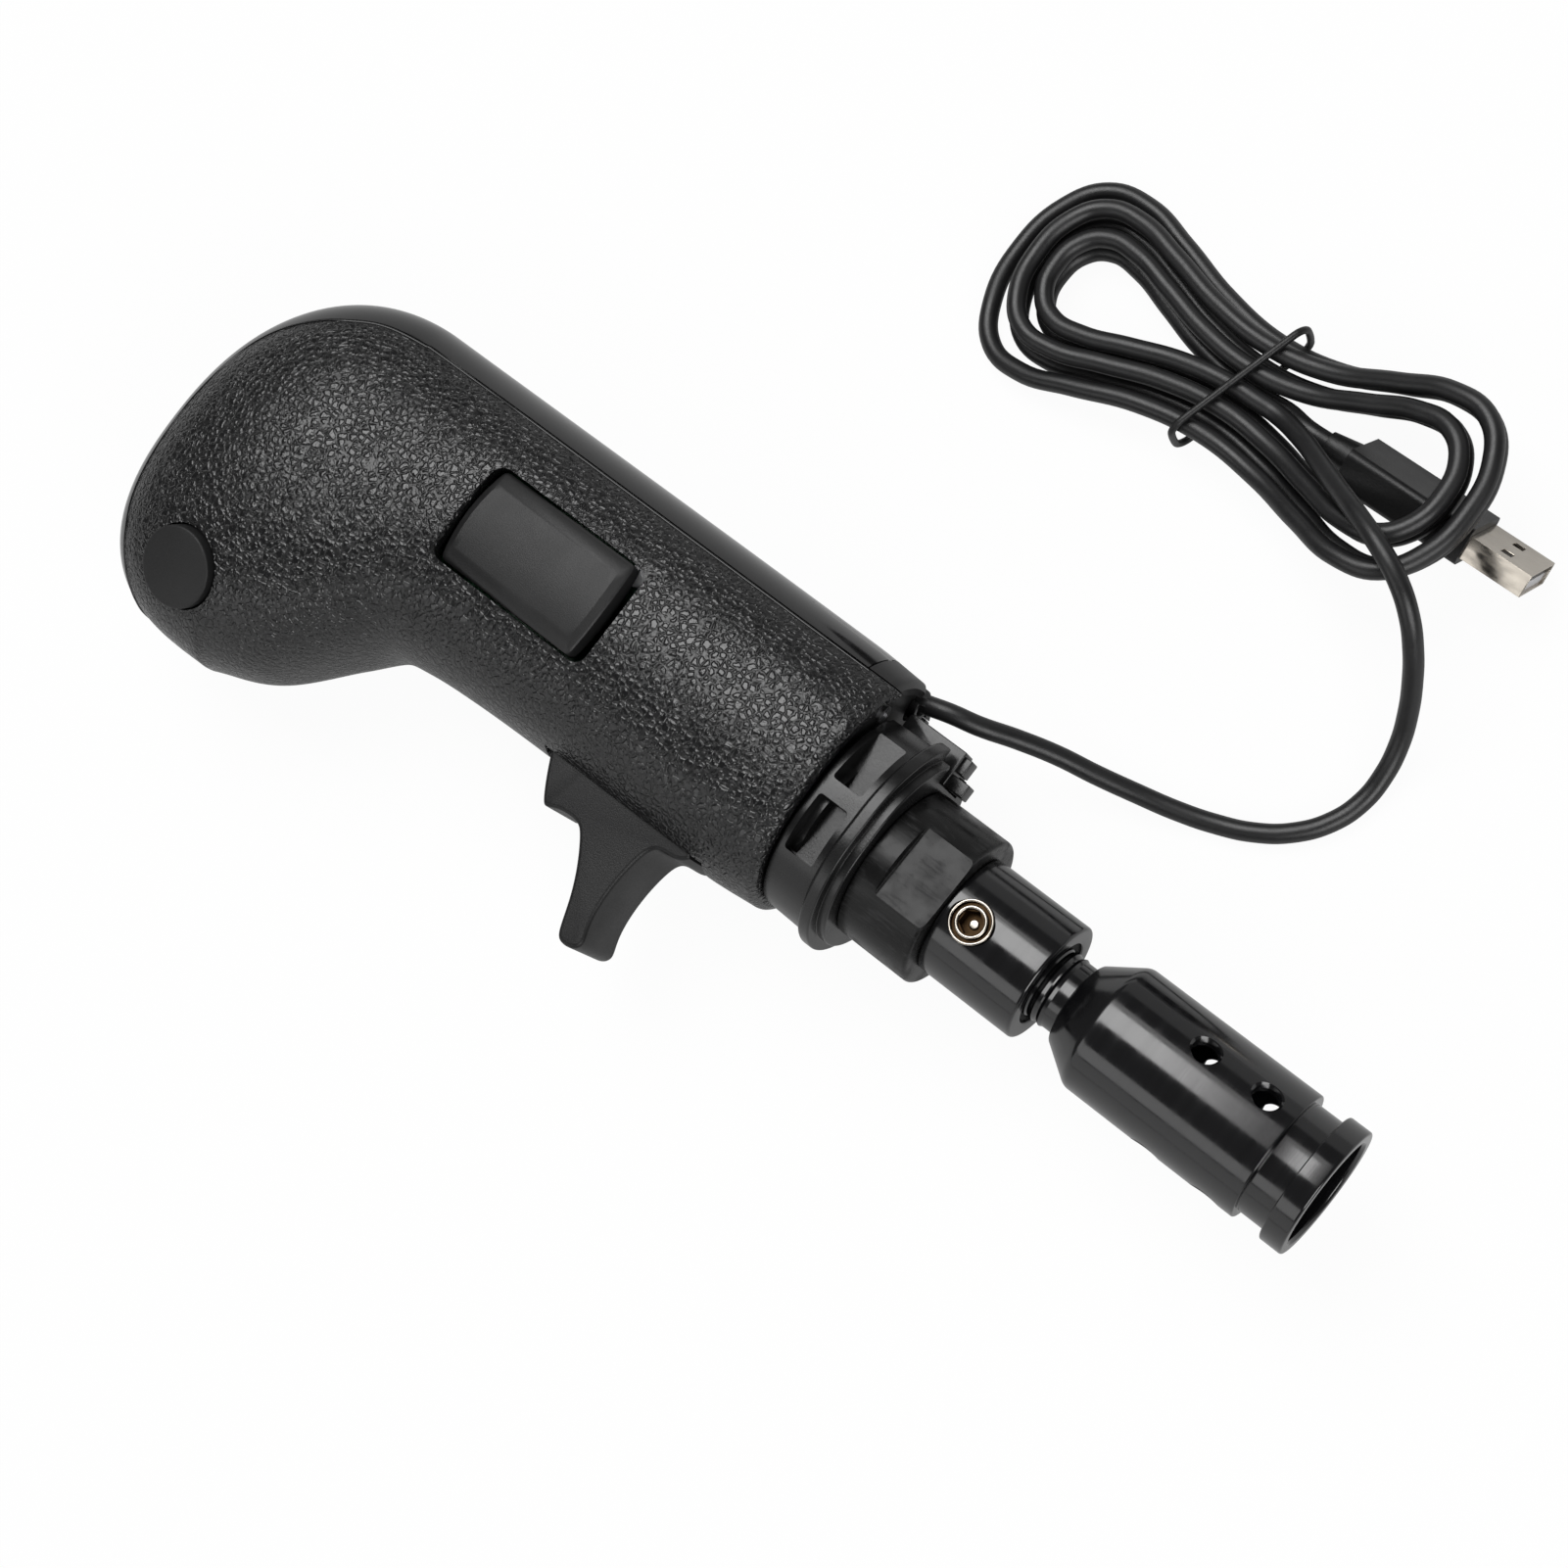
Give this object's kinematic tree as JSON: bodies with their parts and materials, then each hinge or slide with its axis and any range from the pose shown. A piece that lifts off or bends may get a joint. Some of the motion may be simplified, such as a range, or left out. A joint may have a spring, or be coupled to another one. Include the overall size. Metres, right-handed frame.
{
  "type": "gear shifter knob",
  "caption": "Truck-style shifter grip with range lever, rocker and thumb button on a bored lever adapter, with a tied USB cable.",
  "frame": {"origin": "centre of the adapter's bore at its mouth", "axes": "+X out of the bore's mouth along the shaft, +Y to the grip's back, +Z to the grip's left side, which faces up as it lies"},
  "size_m": [0.2594, 0.1776, 0.0471],
  "materials": {
    "grained_grip": "leather-grained satin moulding",
    "gloss_cover": "gloss",
    "matte_black": "fine matte",
    "collar_plastic": "semi-matte",
    "nut_plastic": "semi-matte, scuffed on the flats",
    "anodised_black": "turned and gloss black anodised",
    "nickel": "nickel plated",
    "steel": "zinc plated",
    "inner_grey": "moulded",
    "switch_body": "moulded",
    "switch_white": "moulded",
    "board_green": "coated board",
    "wire_red": "insulated wire",
    "cable_rubber": "satin jacket",
    "plug_plastic": "satin overmould"
  },
  "bodies": {
    "grip": {"adapter": "anodised_black", "barrel": "anodised_black", "barrel_set_screw": "nickel", "clamp_nut": "nut_plastic", "lock_collar": "collar_plastic", "lock_tab": "collar_plastic", "grip_shell": "grained_grip", "rear_cover": "gloss_cover", "rear_end_band": "matte_black", "base_plate": "matte_black", "base_screws": "steel", "chassis": "inner_grey", "trigger_pin": "steel", "range_switch": "switch_body", "main_board": "board_green", "controller_chip": "switch_body", "cable_socket": "switch_white", "board_screws": "steel", "rocker_axle": "steel", "rocker_carrier": "inner_grey", "rocker_switches": "switch_body", "button_cup": "inner_grey", "button_spring": "steel", "button_switch": "switch_body", "button_board": "board_green", "button_wires": "wire_red", "cable_grommet": "cable_rubber", "inner_cable": "cable_rubber", "cable_lead": "cable_rubber", "cable_hank": "cable_rubber", "cable_tie": "cable_rubber", "usb_overmould": "plug_plastic", "usb_shell": "nickel", "usb_tongue": "switch_white"},
    "lever": {"range_trigger": "matte_black"},
    "slider": {"range_slider": "switch_white"},
    "rocker": {"rocker": "matte_black"},
    "button": {"thumb_button": "matte_black"}
  },
  "joints": [
    {"name": "range_lever_tilt", "type": "hinge", "parent": "grip", "child": "lever", "pos_m": [-0.1405, -0.003, 0], "axis": [0, 0, 1], "range_deg": [0, 10]},
    {"name": "range_switch_slide", "type": "slide", "parent": "grip", "child": "slider", "axis": [-1, 0, 0], "range_m": [0, 0.0014]},
    {"name": "rocker_tilt", "type": "hinge", "parent": "grip", "child": "rocker", "pos_m": [-0.1725, 0.004, 0.01457], "axis": [0, 1, 0], "range_deg": [0, 9]},
    {"name": "thumb_button_press", "type": "slide", "parent": "grip", "child": "button", "axis": [0, 0.4067, -0.9135], "range_m": [0, 0.0015], "stiffness_N_per_m": 300, "deforming": ["button_spring"]}
  ],
  "couplings": [
    {"joint": "range_switch_slide", "follows": "range_lever_tilt", "m_per_rad": 0.008}
  ]
}
